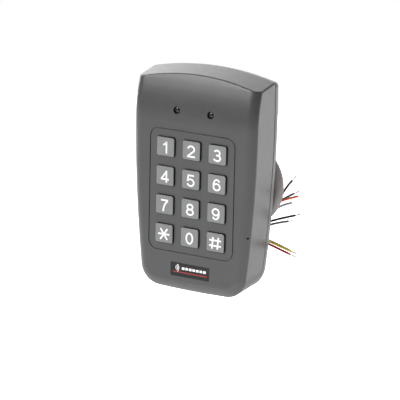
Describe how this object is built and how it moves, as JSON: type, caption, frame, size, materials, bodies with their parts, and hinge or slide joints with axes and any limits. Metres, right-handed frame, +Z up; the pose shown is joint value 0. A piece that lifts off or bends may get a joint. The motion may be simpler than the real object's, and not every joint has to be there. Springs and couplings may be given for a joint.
{
  "type": "card reader",
  "caption": "Wall-mounted proximity card reader with a telephone-style key pad, two indicator lights, a wall plate and a pigtail cable with stripped conductors.",
  "frame": {"origin": "middle of the wall plate's rear face, on the plane of symmetry", "axes": "+Z up along the housing, +Y into the wall, so the key pad looks along -Y; +X to the right seen from the front"},
  "size_m": [0.0874, 0.0549, 0.1218],
  "materials": {
    "cover": "fine moulded texture, satin, cool mid grey",
    "plate": "fine moulded texture, satin, light grey",
    "rear_shell": "moulded texture, matt grey",
    "seal": "matt silicone",
    "key": "satin moulded grey",
    "legend": "white printed ink",
    "badge": null,
    "lens": "smoked clear moulding",
    "lamp": "diffused moulding",
    "board": "green solder mask",
    "copper": "enamelled copper wire",
    "chip": "black moulded package",
    "header": "ivory moulded nylon",
    "can": "drawn can",
    "steel": "zinc plated",
    "jacket": "soft grey jacket, slightly warm",
    "leads": "insulated conductors",
    "tinned": "tinned copper strands",
    "core_brown": "dull brown insulation",
    "core_green": "dark grey-green insulation",
    "core_orange": "orange insulation",
    "core_drain": "pale grey insulation, darker towards the jacket",
    "core_black": "black insulation",
    "core_grey": "grey insulation",
    "core_slate": "slate insulation",
    "core_yellow": "yellow insulation",
    "core_red": "red insulation"
  },
  "bodies": {
    "housing": {"antenna_coil": "copper", "badge": "badge", "bare_tips": "tinned", "board_screws": "steel", "buzzer": "chip", "cable_coil": "jacket", "cable_gland": "seal", "cable_header": "header", "cable_lead": "jacket", "cable_loop": "jacket", "capacitor": "can", "circuit_board": "board", "controller_chip": "chip", "core_black": "core_black", "core_brown": "core_brown", "core_drain": "core_drain", "core_green": "core_green", "core_grey": "core_grey", "core_orange": "core_orange", "core_red": "core_red", "core_slate": "core_slate", "core_yellow": "core_yellow", "cover_screws": "steel", "crystal": "can", "front_cover": "cover", "gasket": "seal", "inner_leads": "leads", "key_mat": "seal", "led_left": "lamp", "led_right": "lamp", "light_guide_left": "lens", "light_guide_right": "lens", "locking_screw": "steel", "mounting_plate": "plate", "radio_chip": "chip", "rear_cover": "rear_shell", "resistors": "chip", "tamper_sensor": "chip"},
    "key_1": {"key_1": "key"},
    "key_2": {"key_2": "key"},
    "key_3": {"key_3": "key"},
    "key_4": {"key_4": "key"},
    "key_5": {"key_5": "key"},
    "key_6": {"key_6": "key"},
    "key_7": {"key_7": "key"},
    "key_8": {"key_8": "key"},
    "key_9": {"key_9": "key"},
    "key_star": {"key_star": "key"},
    "key_0": {"key_0": "key"},
    "key_hash": {"key_hash": "key"}
  },
  "joints": [
    {"name": "press_1", "type": "slide", "parent": "housing", "child": "key_1", "axis": [0, 1, 0], "range_m": [0, 0.0009], "stiffness_N_per_m": 900, "deforming": ["key_mat"]},
    {"name": "press_2", "type": "slide", "parent": "housing", "child": "key_2", "axis": [0, 1, 0], "range_m": [0, 0.0009], "stiffness_N_per_m": 900, "deforming": ["key_mat"]},
    {"name": "press_3", "type": "slide", "parent": "housing", "child": "key_3", "axis": [0, 1, 0], "range_m": [0, 0.0009], "stiffness_N_per_m": 900, "deforming": ["key_mat"]},
    {"name": "press_4", "type": "slide", "parent": "housing", "child": "key_4", "axis": [0, 1, 0], "range_m": [0, 0.0009], "stiffness_N_per_m": 900, "deforming": ["key_mat"]},
    {"name": "press_5", "type": "slide", "parent": "housing", "child": "key_5", "axis": [0, 1, 0], "range_m": [0, 0.0009], "stiffness_N_per_m": 900, "deforming": ["key_mat"]},
    {"name": "press_6", "type": "slide", "parent": "housing", "child": "key_6", "axis": [0, 1, 0], "range_m": [0, 0.0009], "stiffness_N_per_m": 900, "deforming": ["key_mat"]},
    {"name": "press_7", "type": "slide", "parent": "housing", "child": "key_7", "axis": [0, 1, 0], "range_m": [0, 0.0009], "stiffness_N_per_m": 900, "deforming": ["key_mat"]},
    {"name": "press_8", "type": "slide", "parent": "housing", "child": "key_8", "axis": [0, 1, 0], "range_m": [0, 0.0009], "stiffness_N_per_m": 900, "deforming": ["key_mat"]},
    {"name": "press_9", "type": "slide", "parent": "housing", "child": "key_9", "axis": [0, 1, 0], "range_m": [0, 0.0009], "stiffness_N_per_m": 900, "deforming": ["key_mat"]},
    {"name": "press_star", "type": "slide", "parent": "housing", "child": "key_star", "axis": [0, 1, 0], "range_m": [0, 0.0009], "stiffness_N_per_m": 900, "deforming": ["key_mat"]},
    {"name": "press_0", "type": "slide", "parent": "housing", "child": "key_0", "axis": [0, 1, 0], "range_m": [0, 0.0009], "stiffness_N_per_m": 900, "deforming": ["key_mat"]},
    {"name": "press_hash", "type": "slide", "parent": "housing", "child": "key_hash", "axis": [0, 1, 0], "range_m": [0, 0.0009], "stiffness_N_per_m": 900, "deforming": ["key_mat"]}
  ]
}
